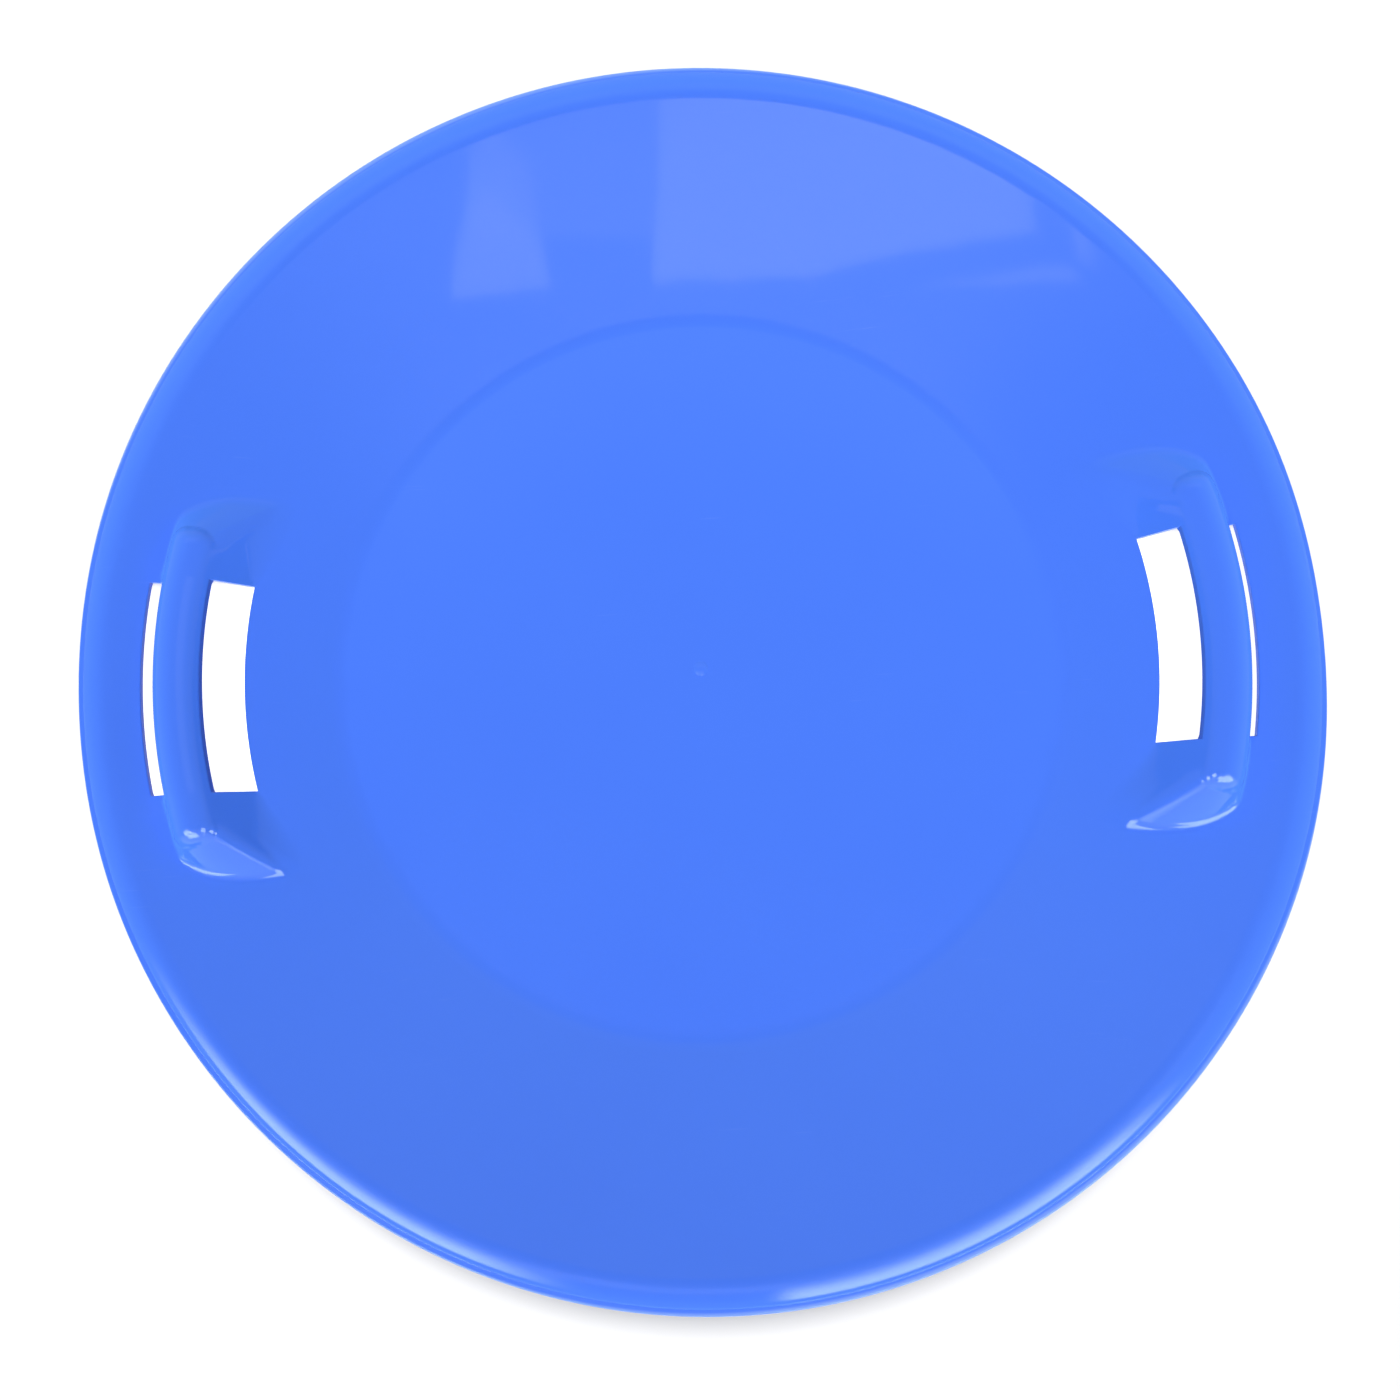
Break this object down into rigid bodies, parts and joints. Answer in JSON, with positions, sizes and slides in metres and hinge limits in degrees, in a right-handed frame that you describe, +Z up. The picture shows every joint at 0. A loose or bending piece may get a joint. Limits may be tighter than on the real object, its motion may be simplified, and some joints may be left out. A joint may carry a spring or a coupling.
{
  "type": "saucer sled",
  "caption": "Round dished snow saucer of glossy moulded plastic: flat floor, flared wall, rolled rim, and moulded hand grips bridging finger openings.",
  "frame": {"origin": "centre of the floor's underside, on the surface that the sled rests on", "axes": "+Z up out of the dish, +X towards the right grip, +Y towards the front shoulders of the grips"},
  "size_m": [0.65, 0.65, 0.0575],
  "materials": {
    "moulding": "glossy blue moulded plastic"
  },
  "bodies": {
    "root": {"base_disc": "moulding", "flared_wall": "moulding", "rolled_rim": "moulding", "right_grip_bar": "moulding", "left_grip_bar": "moulding", "right_front_shoulder": "moulding", "right_rear_shoulder": "moulding", "left_front_shoulder": "moulding", "left_rear_shoulder": "moulding"}
  },
  "joints": []
}
